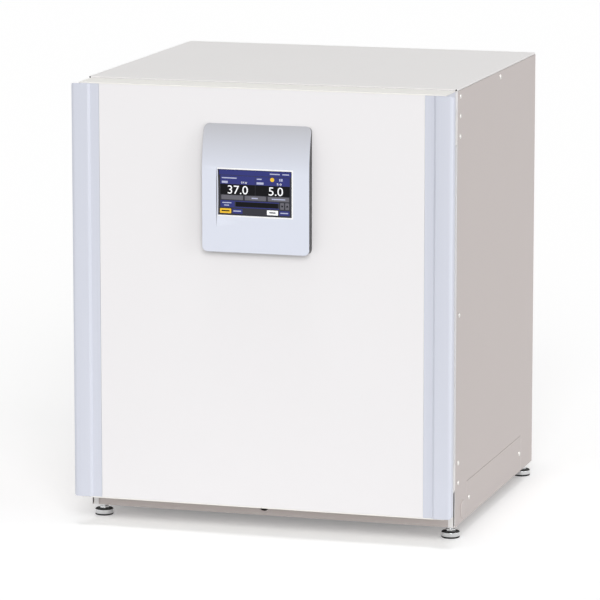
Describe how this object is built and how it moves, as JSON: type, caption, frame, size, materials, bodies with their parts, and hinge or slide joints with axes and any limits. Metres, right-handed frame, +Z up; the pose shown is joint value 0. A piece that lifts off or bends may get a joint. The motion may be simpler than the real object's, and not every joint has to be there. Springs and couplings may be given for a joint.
{
  "type": "carbon dioxide incubator",
  "caption": "Floor or bench standing incubator cabinet with an insulated outer door and display, inner glass door, chamber with shelves, fan and water pan, on levelling feet.",
  "frame": {"origin": "middle of the overall box at the floor, under the levelling feet", "axes": "+X to the right seen from the front, +Y from the front to the back, +Z up and longest"},
  "size_m": [0.788, 0.771, 0.905],
  "materials": {
    "white_paint": "satin powder coat",
    "beige_paint": "satin powder coat",
    "top_paint": "satin powder coat",
    "door_paint": "smooth coated steel",
    "cream_plastic": "moulded",
    "strip_aluminium": "satin anodised",
    "silver_plastic": "satin metallic",
    "display_glass": "glossy touch panel",
    "board": "circuit board",
    "stainless": "fine brushed",
    "foam": "rigid foam",
    "liner_plastic": "moulded",
    "gasket_grey": "soft",
    "silicone": "translucent silicone",
    "black_plastic": "moulded",
    "black_rubber": "moulded",
    "zinc_steel": "bright plated",
    "screw_steel": "plated",
    "clear_glass": "tempered, clear",
    "lamp_glass": "quartz tube",
    "brass": "turned",
    "grey_plastic": "moulded"
  },
  "bodies": {
    "cabinet": {"base_pan": "beige_paint", "front_frame": "white_paint", "side_panel_right": "beige_paint", "side_panel_left": "beige_paint", "top_panel": "top_paint", "back_panel": "beige_paint", "access_covers": "beige_paint", "side_plugs": "grey_plastic", "panel_screws": "screw_steel", "rear_spacers": "black_plastic", "insulation": "foam", "chamber_liner": "stainless", "glass_gasket": "silicone", "shelf_rack_right": "stainless", "shelf_rack_left": "stainless", "duct_cover": "stainless", "fan_motor": "zinc_steel", "co2_sensor": "grey_plastic", "temperature_sensor": "zinc_steel", "uv_lamp": "lamp_glass", "access_port": "grey_plastic", "gas_inlet": "brass", "gas_valve": "black_plastic", "power_inlet": "black_plastic", "switch_frame": "black_plastic", "control_unit": "zinc_steel", "hinge_brackets": "zinc_steel", "glass_brackets": "zinc_steel"},
    "door": {"door_knuckles": "zinc_steel", "door_skin": "door_paint", "door_foam": "foam", "door_liner": "liner_plastic", "door_gasket": "gasket_grey", "grip_strip_right": "strip_aluminium", "grip_strip_left": "strip_aluminium", "door_cap_top": "cream_plastic", "door_cap_bottom": "cream_plastic", "display_bezel": "silver_plastic", "display_module": "display_glass", "display_board": "board"},
    "glass_door": {"glass_pane": "clear_glass", "glass_knob": "black_plastic", "glass_clamps": "zinc_steel"},
    "fan": {"fan_wheel": "black_plastic"},
    "stopper": {"port_stopper": "silicone"},
    "rocker": {"switch_rocker": "black_plastic"},
    "water_pan": {"humidity_pan": "stainless"},
    "shelf_lower": {"shelf_1": "stainless"},
    "shelf_middle": {"shelf_2": "stainless"},
    "shelf_upper": {"shelf_3": "stainless"},
    "levelling_foot_front_left": {"foot_front_left": "zinc_steel", "foot_pad_front_left": "black_rubber"},
    "levelling_foot_front_right": {"foot_front_right": "zinc_steel", "foot_pad_front_right": "black_rubber"},
    "levelling_foot_rear_left": {"foot_rear_left": "zinc_steel", "foot_pad_rear_left": "black_rubber"},
    "levelling_foot_rear_right": {"foot_rear_right": "zinc_steel", "foot_pad_rear_right": "black_rubber"}
  },
  "joints": [
    {"name": "door_hinge", "type": "hinge", "parent": "cabinet", "child": "door", "pos_m": [0.374, -0.3075, 0.483], "axis": [0, 0, 1], "range_deg": [0, 125]},
    {"name": "glass_door_hinge", "type": "hinge", "parent": "cabinet", "child": "glass_door", "pos_m": [0.337, -0.305, 0.492], "axis": [0, 0, 1], "range_deg": [0, 116]},
    {"name": "shelf_lower_slide", "type": "slide", "parent": "cabinet", "child": "shelf_lower", "axis": [0, -1, 0], "range_m": [0, 0.195]},
    {"name": "shelf_middle_slide", "type": "slide", "parent": "cabinet", "child": "shelf_middle", "axis": [0, -1, 0], "range_m": [0, 0.195]},
    {"name": "shelf_upper_slide", "type": "slide", "parent": "cabinet", "child": "shelf_upper", "axis": [0, -1, 0], "range_m": [0, 0.195]},
    {"name": "water_pan_slide", "type": "slide", "parent": "cabinet", "child": "water_pan", "axis": [0, -1, 0], "range_m": [0, 0.195]},
    {"name": "fan_spin", "type": "hinge", "parent": "cabinet", "child": "fan", "pos_m": [0, 0.222, 0.735], "axis": [0, 1, 0], "continuous": true},
    {"name": "port_stopper_pull", "type": "slide", "parent": "cabinet", "child": "stopper", "axis": [0, 1, 0], "range_m": [0, 0.06]},
    {"name": "power_rocker_tilt", "type": "hinge", "parent": "cabinet", "child": "rocker", "pos_m": [0.19, 0.3605, 0.078], "axis": [1, 0, 0], "range_deg": [0, 20]},
    {"name": "foot_screw_front_left", "type": "slide", "parent": "cabinet", "child": "levelling_foot_front_left", "axis": [0, 0, -1], "range_m": [0, 0.012]},
    {"name": "foot_screw_front_right", "type": "slide", "parent": "cabinet", "child": "levelling_foot_front_right", "axis": [0, 0, -1], "range_m": [0, 0.012]},
    {"name": "foot_screw_rear_left", "type": "slide", "parent": "cabinet", "child": "levelling_foot_rear_left", "axis": [0, 0, -1], "range_m": [0, 0.012]},
    {"name": "foot_screw_rear_right", "type": "slide", "parent": "cabinet", "child": "levelling_foot_rear_right", "axis": [0, 0, -1], "range_m": [0, 0.012]}
  ],
  "couplings": [
    {"joint": "glass_door_hinge", "follows": "door_hinge", "ratio": 0.92},
    {"joint": "shelf_lower_slide", "follows": "door_hinge", "m_per_rad": 0.087},
    {"joint": "shelf_middle_slide", "follows": "door_hinge", "m_per_rad": 0.087},
    {"joint": "shelf_upper_slide", "follows": "door_hinge", "m_per_rad": 0.087},
    {"joint": "water_pan_slide", "follows": "door_hinge", "m_per_rad": 0.087}
  ]
}
